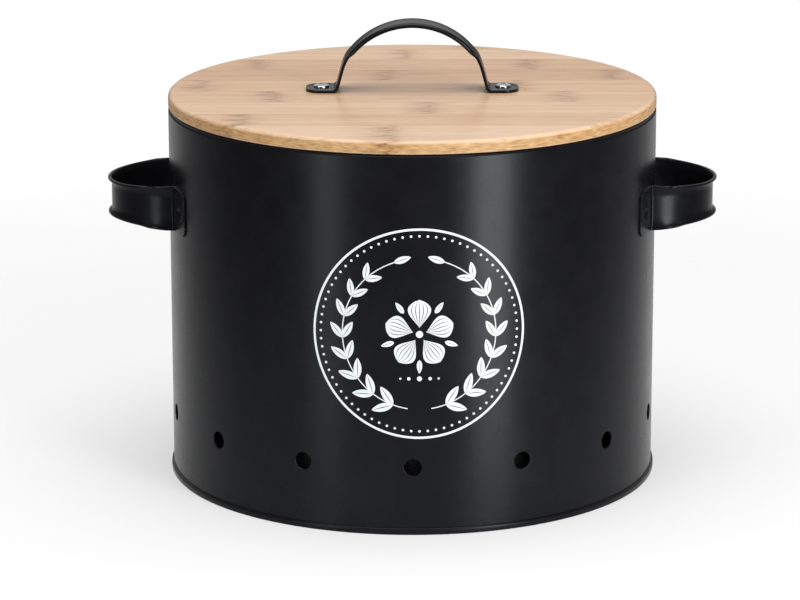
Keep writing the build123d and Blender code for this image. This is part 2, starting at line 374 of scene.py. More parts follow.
tab_drop, drop_start = 0.12, 58.0  # share that the lower half grows by, and the degrees round the loop from there
weld_azimuth = 20.9
weld_radius, weld_flat = 3.0, 1.8
weld_depth, weld_rim = 0.6, 0.35
weld_drop = 0.5

fold_distance = tab_radius + fold_radius
fold_x = (fold_distance**2 - (loop_radius + fold_radius) ** 2 + loop_centre**2) / (2 * loop_centre)
fold_y = sqrt(fold_distance**2 - fold_x**2)
fold_azimuth = asin(fold_y / fold_distance)
loop_end = acos((fold_x - loop_centre) / (loop_radius + fold_radius))


def ease(value, start, end):
    """0 up to the start, 1 from the end on, and a smooth rise between them."""
    share = min(max((value - start) / (end - start), 0), 1)
    return share * share * (3 - 2 * share)


# levels up the strap, close together where it is rolled and where it is welded
levels = [step * 0.5 for step in range(9)] + [4.6, 5.2, 5.8, 6.4, 7.0, 7.5, 8.0, 8.4, 8.7]
levels += [8.93 + (strap_half - 8.93) * step / 20 for step in range(21)]


def section(rolled, dished, half):
    """Height and reach outwards at each level of the strap's upper half, with its edge dished and rolled."""
    bead = bead_length + flare_length * (1 - rolled) ** 2
    height, reach, places = 0.0, 0.0, [(0.0, 0.0)]
    for low, high in zip(levels, levels[1:]):
        for quarter in (1, 3, 5, 7):
            here = low + (high - low) * quarter / 8 - strap_half + bead
            slope = radians(dish_turn) * dished * min(max(here / dish_length + 1, 0), 1)
            slope += radians(bead_turn - dish_turn) * rolled * max(here, 0) / bead
            height += cos(slope) * (high - low) / 4
            reach += sin(slope) * (high - low) / 4
        places.append((height, reach))
    top = max(height for height, _ in places) + strap_sheet / 2 * sin(min(slope, pi / 2))
    return [(height * half / top, reach) for height, reach in places]


# stations from the middle of the loop to the end of one tab: place, direction outwards and section there
stations = []
for step in range(57):
    angle = loop_end * step / 56
    half = bead_half + (strap_half - bead_half) * ease(degrees(angle), rise_start, degrees(loop_end))
    edge = section(1 - ease(degrees(angle), *bead_open), 1 - ease(degrees(angle), *flare_end), half)
    lower = 1 + tab_drop * ease(degrees(angle), drop_start, degrees(loop_end))
    out = (cos(angle), sin(angle))
    stations.append((loop_centre + loop_radius * out[0], loop_radius * out[1], *out, edge, lower))
for step in range(1, 9):
    angle = pi + loop_end - (loop_end - fold_azimuth) * step / 8
    out = (-cos(angle), -sin(angle))
    edge = section(0, (1 - ease(degrees(loop_end), *flare_end)) * (1 - step / 8), strap_half)
    stations.append((fold_x - fold_radius * out[0], fold_y - fold_radius * out[1], *out, edge, 1 + tab_drop))
tab_start = tab_radius * sin(fold_azimuth)
tab_square = tab_reach - tab_corner
reaches = [tab_start + (tab_square - tab_start) * step / 22 for step in range(1, 23)]
reaches += [tab_square + tab_corner * sin(radians(angle)) for angle in range(9, 91, 9)]
for reach in reaches:
    angle = asin(reach / tab_radius)
    past = max(reach - tab_square, 0)
    half = strap_half - tab_corner + sqrt(max(tab_corner**2 - past**2, 0))
    stations.append((tab_radius * cos(angle), reach, cos(angle), sin(angle), section(0, 0, half), 1 + tab_drop))
stations = [(x, -y, out_x, -out_y, *rest) for x, y, out_x, out_y, *rest in stations[:0:-1]] + stations

right_handle = begin(
    "right_handle_strap",
    bpy.ops.mesh.primitive_grid_add,
    x_subdivisions=len(stations) - 1,
    y_subdivisions=2 * (len(levels) - 1),
    size=2,
)
bpy.ops.object.mode_set(mode="OBJECT")
for corner in right_handle.data.vertices:
    x, y, out_x, out_y, edge, lower = stations[round((corner.co.x + 1) / 2 * (len(stations) - 1))]
    row = round(corner.co.y * (len(levels) - 1))
    height, reach = edge[abs(row)]
    z = strap_middle + (height if row > 0 else -height * lower)
    corner.co = Vector((x + reach * out_x, y + reach * out_y, z)) * mm
modify(right_handle, "SOLIDIFY", thickness=strap_sheet * mm, offset=0, use_even_offset=True)
modify(right_handle, "BEVEL", width=0.14 * mm, segments=2, limit_method="ANGLE", angle_limit=radians(50))

# the weld's electrode leaves a shallow cup with a low rim in each tab
for corner in right_handle.data.vertices:
    x, y, z = corner.co / mm
    if hypot(x, y) > tab_radius and abs(y) > tab_start:
        away = hypot(tab_radius * (abs(atan2(y, x)) - radians(weld_azimuth)), z - strap_middle + weld_drop)
        cup = weld_depth * (ease(away, weld_flat, weld_radius) - 1) + weld_rim * exp(-(((away - weld_radius - 0.3) / 0.5) ** 2))
        corner.co *= Vector((1 + cup / hypot(x, y), 1 + cup / hypot(x, y), 1))
bpy.ops.object.mode_set(mode="EDIT")
close()
bpy.ops.object.shade_smooth_by_angle(angle=radians(50))
right_handle.data.materials.append(black_powder_coat)

left_handle = right_handle.copy()
left_handle.data = right_handle.data.copy()
left_handle.name = left_handle.data.name = "left_handle_strap"
bpy.context.collection.objects.link(left_handle)
left_handle.data.transform(Matrix.Scale(-1, 4, (1, 0, 0)))
left_handle.data.flip_normals()
for handle, part in ((right_handle, "right_handle"), (left_handle, "left_handle")):
    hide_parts(part)
    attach(handle, "bin")


# --- Front badge -------------------------------------------------------------------------------------------
# A round badge on the front, screen-printed in white after coating: a ring, a ring of dots, a wreath of
# leaves and a five-petalled blossom. The ink stands a little proud of the coat.
badge_radius, badge_ring = 50.9, 1.1
badge_azimuth, badge_height = -88.5, 98.2
dot_ring, dot_size, dot_count = 47.2, 0.6, 76
wreath_radius, wreath_stem = 36.5, 0.5
leaf_length, leaf_width = 10.5, 4.4
petal_length, petal_width = 13.5, 11.2
ink_proud, ink_root = 0.07, 0.05


def blade(name, length, width, widest, bands, slit):
    """A leaf or a petal that points along x from the origin, printed in bands with fine slits between them."""
    rows = 2 * bands - 1
    piece = begin(name, bpy.ops.mesh.primitive_grid_add, x_subdivisions=18, y_subdivisions=rows, size=2)
    shape = bmesh.from_edit_mesh(piece.data)
    slits = [face for face in shape.faces if int((face.calc_center_median().y + 1) / 2 * rows) % 2 == 1]
    bmesh.ops.delete(shape, geom=slits, context="FACES")
    for corner in shape.verts:
        share, row = (corner.co.x + 1) / 2, round((corner.co.y + 1) / 2 * rows)
        outline = width / 2 * max(sin(pi * share**widest), 0) ** 0.75
        middle = outline * ((2 * (row // 2) + 1) / bands - 1)
        half = outline / bands - slit / 2 * sin(pi * share)
        corner.co = Vector((share * length, middle + (half if row % 2 else -half), 0)) * mm
    bmesh.update_edit_mesh(piece.data)
    bpy.ops.mesh.select_all(action="SELECT")
    bpy.ops.mesh.remove_doubles(threshold=0.002 * mm)
    bpy.ops.object.mode_set(mode="OBJECT")
    return piece


def stamp(piece, places):
    """Puts a copy of a piece at each (x, y, heading in degrees, scale) and removes the piece."""
    copies = []
    for x, y, heading, scale in places:
        copy = bpy.data.objects.new(piece.name, piece.data.copy())
        copy.data.transform(
            Matrix.Translation((x * mm, y * mm, 0)) @ Matrix.Rotation(radians(heading), 4, "Z") @ Matrix.Scale(scale, 4)
        )
        bpy.context.collection.objects.link(copy)
        copies.append(copy)
    bpy.data.objects.remove(piece)
    return copies


def round_place(radius, angle):
    return radius * cos(radians(angle)), radius * sin(radians(angle))


# drawn flat: the rings, whose inner edges are drawn in by extruding and scaling
badge = begin("front_badge_print", bpy.ops.mesh.primitive_plane_add, size=mm)
bpy.ops.mesh.delete(type="VERT")
for outer, inner in ((badge_radius, badge_radius - badge_ring), (wreath_radius + wreath_stem / 2, wreath_radius - wreath_stem / 2)):
    bpy.ops.mesh.select_all(action="DESELECT")
    bpy.ops.mesh.primitive_circle_add(vertices=288, radius=outer * mm)
    bpy.ops.mesh.extrude_region_move()
    bpy.ops.transform.resize(value=(inner / outer, inner / outer, 1), center_override=(0, 0, 0))
pick("VERT", lambda x, y, z: hypot(x, y) < wreath_radius + 1 and (y > 0 and abs(x) < 11.5 or y < 0 and abs(x) < 5.5))
bpy.ops.mesh.delete(type="VERT")
bpy.ops.object.mode_set(mode="OBJECT")

# the dots, the leaves in pairs along the two stems with one at each tip, and the blossom
dot = begin("badge_dot", bpy.ops.mesh.primitive_circle_add, vertices=14, radius=dot_size * mm, fill_type="NGON")
bpy.ops.object.mode_set(mode="OBJECT")
dots = [(*round_place(dot_ring, 360 * step / dot_count), 0, 1) for step in range(dot_count)]
dots += [(x, -21.5, 0, scale) for x, scale in ((0, 2.0), (-5, 1.4), (5, 1.4), (-9, 0.9), (9, 0.9))]
prints = stamp(dot, dots)
leaves = []
for side in (-1, 1):
    for pair in range(8):
        angle = -90 + side * (20 + 16.5 * pair)
        along = angle + side * 90
        leaves += [(*round_place(wreath_radius, angle), along + lean, 1 - 0.03 * pair) for lean in (-36, 36)]
    angle = -90 + side * 161
    leaves.append((*round_place(wreath_radius, angle), angle + side * 90, 0.8))
prints += stamp(blade("badge_leaf", leaf_length, leaf_width, 0.9, 2, 0.35), leaves)
petals = [(*round_place(3.2, 90 + 72 * step), 90 + 72 * step, 1) for step in range(5)]
prints += stamp(blade("badge_petal", petal_length, petal_width, 1.5, 6, 0.32), petals)
sepals = [(*round_place(12.5, 54 + 72 * step), 54 + 72 * step, 0.62) for step in range(5)]
prints += stamp(blade("badge_sepal", leaf_length, leaf_width, 0.8, 2, 0.3), sepals)
eye = begin("badge_eye", bpy.ops.mesh.primitive_circle_add, vertices=24, radius=1.7 * mm, fill_type="NGON")
bpy.ops.object.mode_set(mode="OBJECT")
prints += stamp(eye, [(0, 0, 0, 1)])

# joined, given the ink's thickness, stood upright and wrapped round the wall
bpy.ops.object.select_all(action="DESELECT")
for mark in (*prints, badge):
    mark.select_set(True)
bpy.context.view_layer.objects.active = badge
bpy.ops.object.join()
modify(badge, "SOLIDIFY", thickness=(ink_proud + ink_root) * mm, offset=0)
badge.data.transform(
    Matrix.Rotation(pi / 2, 4, "X") @ Matrix.Translation((0, 0, (ink_proud - ink_root) / 2 * mm))
)
modify(badge, "SIMPLE_DEFORM", deform_method="BEND", deform_axis="Z", angle=2 * badge_radius / body_radius)
badge.data.transform(
    Matrix.Translation((0, 0, badge_height * mm))
    @ Matrix.Rotation(radians(badge_azimuth + 90), 4, "Z")
    @ Matrix.Translation((0, -body_radius * mm, 0))
)
bpy.ops.object.mode_set(mode="EDIT")
close()
bpy.ops.object.shade_smooth_by_angle(angle=radians(30))

# White screen-printing ink, cured by heat: opaque and even, satin, with a slightly uneven film.
white_ink = bpy.data.materials.new("screen_printed_white_ink")
white_ink.use_nodes = True
ink = white_ink.node_tree
place = node(ink, "TexCoord").outputs["Object"]
film = node(ink, "TexNoise", {"Vector": place, "Scale": 1 / (1.5 * mm), "Detail": 4.0}).outputs["Fac"]
skin = ink.nodes["Principled BSDF"]
skin.inputs["IOR"].default_value = 1.5
skin.inputs["Specular IOR Level"].default_value = 0.3
ink.links.new(ramp(ink, film, ((0.3, "#DDE2E6"), (0.7, "#EAEEF1"))), skin.inputs["Base Color"])
gloss = node(ink, "MapRange", {"Value": film, "From Min": 0.3, "From Max": 0.7, "To Min": 0.4, "To Max": 0.48})
ink.links.new(gloss.outputs[0], skin.inputs["Roughness"])
badge.data.materials.append(white_ink)
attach(badge, "bin")


# --- Lid board ---------------------------------------------------------------------------------------------
# A round board of bamboo strips about 27 mm wide, glued edge to edge, sawn round, its rim sanded, and its
# underside turned down to a plug that drops into the wall's curled rim. Clear satin varnish.
lid_radius = 120.0
lid_underside, lid_top = 183.85, 190.25
plug_radius, plug_depth = 114.6, 4.6
lid_top_round, lid_lower_round = 2.0, 1.0
screw_offset = 44.7
pilot_radius, pilot_depth = 1.65, 8.6

board = [(0.0, lid_top), (70.0, lid_top), (lid_radius - lid_top_round - 0.25, lid_top)]
board += [
    (
        lid_radius - lid_top_round + lid_top_round * sin(radians(angle)),
        lid_top - lid_top_round + lid_top_round * cos(radians(angle)),
    )
    for angle in range(0, 91, 10)
]
board += [
    (
        lid_radius - lid_lower_round + lid_lower_round * cos(radians(angle)),
        lid_underside + lid_lower_round - lid_lower_round * sin(radians(angle)),
    )
    for angle in range(0, 91, 18)
]
board += [(plug_radius + 0.1, lid_underside), (plug_radius, lid_underside - 0.1)]
board += [(plug_radius, lid_underside - plug_depth + lid_lower_round)]
board += [(plug_radius - lid_lower_round, lid_underside - plug_depth), (60.0, lid_underside - plug_depth)]
board += [(0.0, lid_underside - plug_depth)]
lid_board = begin("bamboo_lid_board", bpy.ops.mesh.primitive_plane_add, size=mm)
bpy.ops.mesh.delete(type="VERT")
turn(board, 288)
close()
for side in (-1, 1):
    drill = begin(
        "pilot_drill",
        bpy.ops.mesh.primitive_cylinder_add,
        vertices=24,
        radius=pilot_radius * mm,
        depth=2 * pilot_depth * mm,
        location=(side * screw_offset * mm, 0, lid_top * mm),
    )
    bpy.ops.object.mode_set(mode="OBJECT")
    bpy.context.view_layer.objects.active = lid_board
    modify(lid_board, "BOOLEAN", operation="DIFFERENCE", object=drill)
    bpy.data.objects.remove(drill)
bpy.ops.object.select_all(action="DESELECT")
lid_board.select_set(True)
bpy.ops.object.shade_smooth_by_angle(angle=radians(40))

# Bamboo, flat-pressed: warm tan strips that differ a little in tone, drawn along by fine fibres, each with a
# brown ragged knuckle or two where the cane had a node. Sawn through on the rim it is more golden. The satin
# varnish mirrors the room faintly at a low angle.
strip_width = 27.0
strip_origin = -112.0  # edge of the first strip at the front
strip_tones = (0.66, 0.42, 0.52, 0.43, 0.39, 0.27, 0.33, 0.55, 0.50)
knuckle_places = (
    (-12, 200), (-81, 200), (7, 200), (-68, 74), (-105, 52), (-13, 100), (-79, 60), (-4, 200), (30, 200)
)
bamboo = bpy.data.materials.new("varnished_bamboo")
bamboo.use_nodes = True
wood = bamboo.node_tree
wood_place = node(wood, "TexCoord")
millimetres = node(
    wood, "VectorMath", {0: wood_place.outputs["Object"], 1: (1000.0, 1000.0, 1000.0)}, operation="MULTIPLY"
)
axes = node(wood, "SeparateXYZ", {0: millimetres.outputs[0]})
strip_place = node(wood, "Math", {0: axes.outputs["Y"], 1: -strip_origin}, operation="ADD").outputs[0]
strip_place = node(wood, "Math", {0: strip_place, 1: strip_width}, operation="DIVIDE").outputs[0]
strip_number = node(wood, "Math", {0: strip_place}, operation="FLOOR").outputs[0]
strip_share = node(wood, "Math", {0: strip_place}, operation="FRACT").outputs[0]
strip_chance = node(wood, "TexWhiteNoise", {"W": strip_number}, noise_dimensions="1D")


def by_strip(values, low, high):
    """One value for each strip, from the front one to the back one."""
    steps = node(
        wood, "ValToRGB", {"Fac": node(wood, "Math", {0: strip_place, 1: 9.0}, operation="DIVIDE").outputs[0]}
    )
    steps.color_ramp.interpolation = "CONSTANT"
    stops = steps.color_ramp.elements
    while len(stops) < 9:
        stops.new(1.0)
    for number, value in enumerate(values):
        stops[number].position = number / 9
        stops[number].color = [(value - low) / (high - low)] * 3 + [1.0]
    return node(wood, "MapRange", {"Value": steps.outputs["Color"], "To Min": low, "To Max": high}).outputs[0]


# each strip is cut from another cane, so the fibres of one don't run on into the next
own_shift = node(
    wood, "VectorMath", {0: strip_chance.outputs["Color"], 1: (900.0, 900.0, 300.0)}, operation="MULTIPLY"
)
own_place = node(wood, "VectorMath", {0: millimetres.outputs[0], 1: own_shift.outputs[0]}, operation="ADD").outputs[0]
grain = []
for length, width, height, detail in ((60, 0.8, 0.9, 4.0), (170, 4.5, 3.0, 3.0), (14, 2.2, 2.0, 3.0)):
    stretched = node(
        wood, "VectorMath", {0: own_place, 1: (1 / length, 1 / width, 1 / height)}, operation="MULTIPLY"
    ).outputs[0]
    grain.append(node(wood, "TexNoise", {"Vector": stretched, "Scale": 1.0, "Detail": detail}).outputs["Fac"])
fine, band, blotch = grain

# knuckles, at most two in a strip: a soft brown bloom that ends in a sharper ragged line across the fibres
knuckle = None
for which in (0, 1):
    at = by_strip([choice[which] for choice in knuckle_places], -130.0, 270.0)
    ragged = node(wood, "MapRange", {"Value": blotch, "From Min": 0.3, "From Max": 0.7, "To Min": -6.0, "To Max": 6.0})
    away = node(wood, "Math", {0: axes.outputs["X"], 1: at}, operation="SUBTRACT").outputs[0]
    away = node(wood, "Math", {0: away, 1: ragged.outputs[0]}, operation="ADD").outputs[0]
    mark = node(wood, "MapRange", {"Value": away, "From Min": -16.0, "From Max": 16.0}).outputs[0]
    mark = ramp(
        wood, mark, ((0.0, 0.0), (0.2, 0.08), (0.38, 0.38), (0.52, 0.62), (0.56, 1.0), (0.61, 0.4), (0.75, 0.12), (1.0, 0.0))
    )
    knuckle = mark if knuckle is None else node(wood, "Math", {0: knuckle, 1: mark}, operation="MAXIMUM").outputs[0]

# tone: the strip's own, its broad bands, its fine fibres and a few blotches
tone = by_strip(strip_tones, 0.0, 1.0)
for source, amount in ((band, 0.5), (fine, 0.42), (blotch, 0.3)):
    offset = node(wood, "Math", {0: source, 1: 0.5}, operation="SUBTRACT").outputs[0]
    tone = node(wood, "Math", {0: offset, 1: amount, 2: tone}, operation="MULTIPLY_ADD").outputs[0]
timber = ramp(wood, tone, ((0.1, "#B58D69"), (0.38, "#CCA683"), (0.58, "#D7B594"), (0.85, "#E2C3A4")))

# a thin darker glue line where two strips meet
joint = node(wood, "Math", {0: strip_share, 1: 0.5}, operation="SUBTRACT").outputs[0]
joint = node(wood, "Math", {0: joint}, operation="ABSOLUTE").outputs[0]
joint = node(wood, "MapRange", {"Value": joint, "From Min": 0.472, "From Max": 0.495, "To Max": 0.32}).outputs[0]
timber = node(wood, "Mix", {"Factor": joint, 6: timber, 7: colour("#9A7250")}, data_type="RGBA").outputs[2]

# the knuckles' brown is strongest along single fibres
knuckle_fibres = node(wood, "MapRange", {"Value": blotch, "From Min": 0.36, "From Max": 0.6, "To Min": 0.35, "To Max": 1.0})
knuckle_share = node(wood, "Math", {0: knuckle, 1: knuckle_fibres.outputs[0]}, operation="MULTIPLY").outputs[0]
top_tone = node(wood, "Mix", {"Factor": knuckle_share, 6: timber, 7: colour("#8E6142")}, data_type="RGBA").outputs[2]

# sawn rim and plug: more golden, with the cut fibre bundles as darker streaks
facing = node(wood, "SeparateXYZ", {0: wood_place.outputs["Normal"]}).outputs["Z"]
facing = node(wood, "Math", {0: facing}, operation="ABSOLUTE").outputs[0]
sawn_share = node(wood, "MapRange", {"Value": facing, "From Min": 0.45, "From Max": 0.15}).outputs[0]
streak_place = node(wood, "VectorMath", {0: own_place, 1: (1 / 5.0, 1 / 5.0, 1 / 0.7)}, operation="MULTIPLY").outputs[0]
streak = node(wood, "TexNoise", {"Vector": streak_place, "Scale": 1.0, "Detail": 3.0}).outputs["Fac"]
sawn = ramp(wood, streak, ((0.28, "#9A7047"), (0.42, "#BC905E"), (0.58, "#CCA472"), (0.78, "#DABA8C")))
sawn_tone = node(wood, "Mix", {"Factor": knuckle_share, 6: sawn, 7: colour("#8A5C32")}, data_type="RGBA").outputs[2]
wood_colour = node(wood, "Mix", {"Factor": sawn_share, 6: top_tone, 7: sawn_tone}, data_type="RGBA").outputs[2]
varnish = wood.nodes["Principled BSDF"]
varnish.inputs["IOR"].default_value = 1.5
varnish.inputs["Specular IOR Level"].default_value = 0.4
wood.links.new(wood_colour, varnish.inputs["Base Color"])
gloss = node(wood, "MapRange", {"Value": fine, "From Min": 0.3, "From Max": 0.7, "To Min": 0.25, "To Max": 0.32})
gloss = node(wood, "Mix", {0: sawn_share, 2: gloss.outputs[0], 3: 0.5}, data_type="FLOAT")
wood.links.new(gloss.outputs[0], varnish.inputs["Roughness"])
relief = node(wood, "Bump", {"Height": fine, "Strength": 0.3, "Distance": 0.02 * mm})
wood.links.new(relief.outputs["Normal"], varnish.inputs["Normal"])
lid_board.data.materials.append(bamboo)
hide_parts("lid_board")
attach(lid_board, "lid")


# --- Lid handle --------------------------------------------------------------------------------------------
# A blank of 1.5 mm steel strip with rounded ends and two punched holes, pressed to an arch with slightly domed
# back and turned-down edges, which run out into two flat legs and two flat feet. Black powder coat.
bridge_sheet = 1.5
crown_top = 224.98
arch_radius = 39.15  # of the sheet's middle
shoulder_radius = 25.95
foot_bend_radius = 2.75
shoulder_angle = 45.0
leg_lean = 15.3
foot_reach = 52.3
foot_corner = 7.5
blank_half, foot_half = 8.62, 9.6
flat_half = 6.6  # of the arch's back, between the bends of its edges
edge_bend_radius = 0.8
edge_turn = 80.0
edge_round = 0.3
crown_dome = 0.32
turned_end, flat_start = 31.5, 37.5  # distances from the crown where the edges begin and end to run out
bridge_hole_radius = 2.2

# the strip's middle line from the crown to a foot, as straight and bent runs
leg_slope = 90 - leg_lean
shoulder_x = arch_radius * sin(radians(shoulder_angle)) + shoulder_radius * (
    sin(radians(leg_slope)) - sin(radians(shoulder_angle))
)
shoulder_z = (
    crown_top
    - bridge_sheet / 2
    - arch_radius * (1 - cos(radians(shoulder_angle)))
    - shoulder_radius * (cos(radians(shoulder_angle)) - cos(radians(leg_slope)))
)
foot_level = lid_top + bridge_sheet / 2
leg_length = (shoulder_z - foot_level - foot_bend_radius * (1 - cos(radians(leg_slope)))) / sin(radians(leg_slope))
bend_x = shoulder_x + leg_length * cos(radians(leg_slope)) + foot_bend_radius * sin(radians(leg_slope))
runs = [
    (arch_radius * radians(shoulder_angle), 1 / arch_radius, 28),
    (shoulder_radius * radians(leg_slope - shoulder_angle), 1 / shoulder_radius, 16),
    (leg_length, 0.0, 6),
    (foot_bend_radius * radians(leg_slope), -1 / foot_bend_radius, 10),
    (foot_reach - bend_x, 0.0, 1),
]


def along_strip(distance):
    """Place and slope of the strip's middle line at a distance from the crown."""
    x, z, slope, left = 0.0, crown_top - bridge_sheet / 2, 0.0, distance
    for length, bend, _ in runs:
        step = min(left, length)
        if bend:
            x += (sin(slope + step * bend) - sin(slope)) / bend
            z += (cos(slope + step * bend) - cos(slope)) / bend
        else:
            x += step * cos(slope)
            z -= step * sin(slope)
        slope += step * bend
        left -= step
    return x, z, slope


# the flat blank: a long grid for what is bent, and a rounded plate at each end
cuts = [0.0]
for length, bend, steps in runs:
    cuts += [cuts[-1] + length * (step + 1) / steps for step in range(steps)]
blank_reach = cuts.pop()
cuts = [-cut for cut in cuts[:0:-1]] + cuts
across = [flat_half * step / 8 for step in range(9)]
across += [flat_half + (blank_half - flat_half) * step / 12 for step in range(1, 13)]
across = [-place for place in across[:0:-1]] + across
lid_handle = begin(
    "lid_handle_strip",
    bpy.ops.mesh.primitive_grid_add,
    x_subdivisions=len(cuts) - 1,
    y_subdivisions=len(across) - 1,
    size=2,
)
bpy.ops.object.mode_set(mode="OBJECT")
for corner in lid_handle.data.vertices:
    cut = cuts[round((corner.co.x + 1) / 2 * (len(cuts) - 1))]
    place = across[round((corner.co.y + 1) / 2 * (len(across) - 1))]
    wider = 1 + (foot_half / blank_half - 1) * ease(abs(cut), flat_start, cuts[-1])
    corner.co = Vector((cut, place * wider, bridge_sheet / 2)) * mm
bpy.ops.object.mode_set(mode="EDIT")
for side in (-1, 1):
    pick("EDGE", lambda x, y, z: side * x > cuts[-1] - 0.01)
    extrude(side * (blank_reach - cuts[-1]), 0, 0)
    pick("FACE", lambda x, y, z: side * x > cuts[-1] - 0.01)
    bpy.ops.mesh.dissolve_faces()
    pick("VERT", lambda x, y, z: side * x > blank_reach - 0.01 and abs(y) < foot_half - 0.01)
    bpy.ops.mesh.dissolve_verts()
    pick("VERT", lambda x, y, z: side * x > blank_reach - 0.01)
    bpy.ops.mesh.bevel(offset=foot_corner * mm, segments=10, profile=0.5, affect="VERTICES")
bpy.ops.object.mode_set(mode="OBJECT")
modify(lid_handle, "SOLIDIFY", thickness=bridge_sheet * mm, offset=-1)
modify(lid_handle, "BEVEL", width=edge_round * mm, segments=3, limit_method="ANGLE", angle_limit=radians(50))

# pressed to shape: its back is domed and its edges turned down along the arch, then the strip is bent
for corner in lid_handle.data.vertices:
    distance, place, depth = corner.co / mm
    pressed = 1 - ease(abs(distance), turned_end, flat_start)
    width, turned = abs(place), 0.0
    drop = crown_dome * min(width / flat_half, 1) ** 2 * pressed
    if width > flat_half and pressed > 0.001:
        bend_length = edge_bend_radius * radians(edge_turn)
        turned = radians(edge_turn) * min((width - flat_half) / bend_length, 1) * pressed
        bent = min(width - flat_half, bend_length)
        past = width - flat_half - bent
        if turned > 1e-6:
            width = flat_half + bent / turned * sin(turned)
            drop += bent / turned * (1 - cos(turned))
        width += past * cos(turned)
        drop += past * sin(turned)
    width += depth * sin(turned)
    depth = depth * cos(turned) - drop
    x, z, slope = along_strip(abs(distance))
    x += depth * sin(slope)
    z += depth * cos(slope)
    corner.co = Vector((x if distance > 0 else -x, width if place > 0 else -width, z)) * mm
bpy.ops.object.mode_set(mode="EDIT")
close()
for side in (-1, 1):
    punch = begin(
        "foot_punch",
        bpy.ops.mesh.primitive_cylinder_add,
        vertices=32,
        radius=bridge_hole_radius * mm,
        depth=6 * mm,
        location=(side * screw_offset * mm, 0, foot_level * mm),
    )
    bpy.ops.object.mode_set(mode="OBJECT")
    bpy.context.view_layer.objects.active = lid_handle
    modify(lid_handle, "BOOLEAN", operation="DIFFERENCE", object=punch)
    bpy.data.objects.remove(punch)
lid_handle.select_set(True)
bpy.ops.object.shade_smooth_by_angle(angle=radians(35))

# Charcoal powder coat with a fine texture: a deep grey whose broad, grainy highlights are brighter than the
# body's, so that the strip's bends read clearly.
charcoal_powder_coat = bpy.data.materials.new("charcoal_powder_coat")
charcoal_powder_coat.use_nodes = True
paint = charcoal_powder_coat.node_tree
place = node(paint, "TexCoord").outputs["Object"]
texture = node(paint, "TexNoise", {"Vector": place, "Scale": 1 / (0.45 * mm), "Detail": 3.0, "Roughness": 0.6})
flow = node(paint, "TexNoise", {"Vector": place, "Scale": 1 / (9 * mm), "Detail": 2.0})
skin = paint.nodes["Principled BSDF"]
skin.inputs["IOR"].default_value = 1.5
skin.inputs["Specular IOR Level"].default_value = 0.25
paint.links.new(
    ramp(paint, texture.outputs["Fac"], ((0.3, "#101012"), (0.7, "#151518"))), skin.inputs["Base Color"]
)
gloss = node(
    paint, "MapRange", {"Value": flow.outputs["Fac"], "From Min": 0.3, "From Max": 0.7, "To Min": 0.23, "To Max": 0.27}
)
paint.links.new(gloss.outputs[0], skin.inputs["Roughness"])
bump = node(paint, "Bump", {"Height": texture.outputs["Fac"], "Strength": 0.4, "Distance": 0.015 * mm})
paint.links.new(bump.outputs["Normal"], skin.inputs["Normal"])
lid_handle.data.materials.append(charcoal_powder_coat)
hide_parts("lid_handle")
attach(lid_handle, "lid")


# --- Lid screws --------------------------------------------------------------------------------------------
# Two pan-head screws with a cross recess, cold-headed steel, bright zinc-plated. They go through the
# handle's feet into the board.
head_radius = 3.9
head_height = 1.85
head_side = 0.7
head_dome = 7.77
shank_radius = 1.6
screw_length, point_length = 9.4, 2.4
recess_width, recess_reach, recess_depth = 1.15, 2.3, 1.3
recess_angles = {-1: 24.0, 1: 61.0}  # each screw stops where it is tight

seat = lid_top + bridge_sheet
dome_centre = head_height - head_dome
dome = [
    (radius, seat + dome_centre + sqrt(head_dome**2 - radius**2))
    for radius in (0.0, 0.6, 1.2, 1.8, 2.3, 2.7, 3.0)
]
dome += [
    (head_radius - 0.9 + 0.9 * sin(radians(angle)), seat + head_side - 0.25 + 0.72 * cos(radians(angle)))
    for angle in (27, 45, 60, 75, 90)
]
# Bright zinc plate, passivated: a cool silver, a little clouded, that mirrors the room softly.
zinc = bpy.data.materials.new("bright_zinc_plated_steel")
zinc.use_nodes = True
plate = zinc.node_tree
place = node(plate, "TexCoord").outputs["Object"]
cloud = node(plate, "TexNoise", {"Vector": place, "Scale": 1 / (1.6 * mm), "Detail": 4.0, "Roughness": 0.6}).outputs["Fac"]
metal = plate.nodes["Principled BSDF"]
metal.inputs["Metallic"].default_value = 1.0
plate.links.new(ramp(plate, cloud, ((0.3, "#C2C5C8"), (0.7, "#D6D9DB"))), metal.inputs["Base Color"])
gloss = node(plate, "MapRange", {"Value": cloud, "From Min": 0.3, "From Max": 0.7, "To Min": 0.18, "To Max": 0.3})
plate.links.new(gloss.outputs[0], metal.inputs["Roughness"])
bump = node(plate, "Bump", {"Height": cloud, "Strength": 0.3, "Distance": 0.02 * mm})
plate.links.new(bump.outputs["Normal"], metal.inputs["Normal"])
